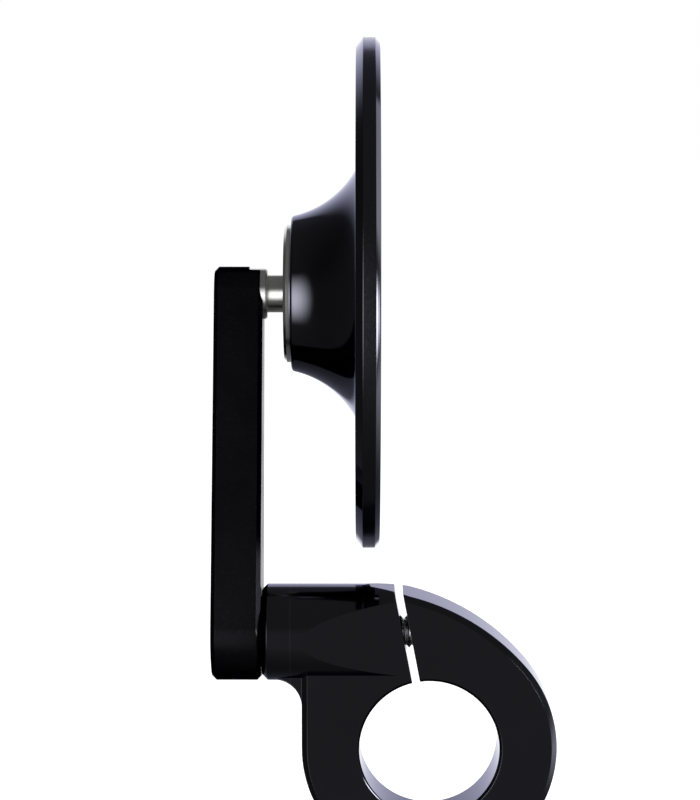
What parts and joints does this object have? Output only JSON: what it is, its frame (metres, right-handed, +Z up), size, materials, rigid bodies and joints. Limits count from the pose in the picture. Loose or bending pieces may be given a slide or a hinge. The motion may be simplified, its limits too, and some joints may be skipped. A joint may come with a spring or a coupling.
{
  "type": "motorcycle bar end mirror",
  "caption": "Round mirror on a ball joint, carried by a tapered arm that turns on the bolt of a split clamp for a motorcycle handlebar end.",
  "frame": {"origin": "on the axis of the clamp's bore, in the middle of the clamp's width", "axes": "+X towards the side that the mirror reflects, +Y along the bar towards its free end, +Z up"},
  "size_m": [0.0627, 0.094, 0.1514],
  "materials": {
    "clamp_black": "gloss black anodised",
    "arm_black": "bead-blasted black anodised",
    "housing_black": "turned black anodised",
    "ring_silver": "satin turned",
    "cup_metal": "turned",
    "stainless": "polished stainless",
    "spring_steel": "blued spring steel",
    "washer_plastic": "filled nylon",
    "liner_plastic": "acetal",
    "seal_rubber": "moulded rubber",
    "bond_foam": "adhesive foam",
    "mirror_glass": "silvered convex glass"
  },
  "bodies": {
    "clamp": {"clamp_body": "clamp_black", "friction_washer": "washer_plastic", "pivot_bolt": "stainless", "bolt_washer": "stainless", "bolt_spring_washer": "spring_steel"},
    "arm": {"arm": "arm_black", "stud_screw": "stainless", "ball_stud": "stainless"},
    "rear_liner": {"rear_ball_liner": "liner_plastic"},
    "front_liner": {"front_ball_liner": "liner_plastic"},
    "head": {"pressure_cup": "cup_metal", "preload_spring": "spring_steel", "retaining_ring": "ring_silver", "ring_seal": "seal_rubber", "mirror_housing": "housing_black", "glass_bond_pad": "bond_foam", "mirror_glass": "mirror_glass"}
  },
  "joints": [
    {"name": "arm_pivot", "type": "hinge", "parent": "clamp", "child": "arm", "pos_m": [-0.035, 0, 0.02075], "axis": [1, 0, 0], "range_deg": [-60, 60]},
    {"name": "mirror_spin", "type": "hinge", "parent": "arm", "child": "rear_liner", "pos_m": [-0.021, 0.01507, 0.0812], "axis": [1, 0, 0], "continuous": true},
    {"name": "mirror_tilt", "type": "hinge", "parent": "rear_liner", "child": "front_liner", "pos_m": [-0.021, 0.01507, 0.0812], "axis": [0, 1, 0], "range_deg": [-10, 10]},
    {"name": "mirror_pan", "type": "hinge", "parent": "front_liner", "child": "head", "pos_m": [-0.021, 0.01507, 0.0812], "axis": [0, 0, 1], "range_deg": [-10, 10]}
  ]
}
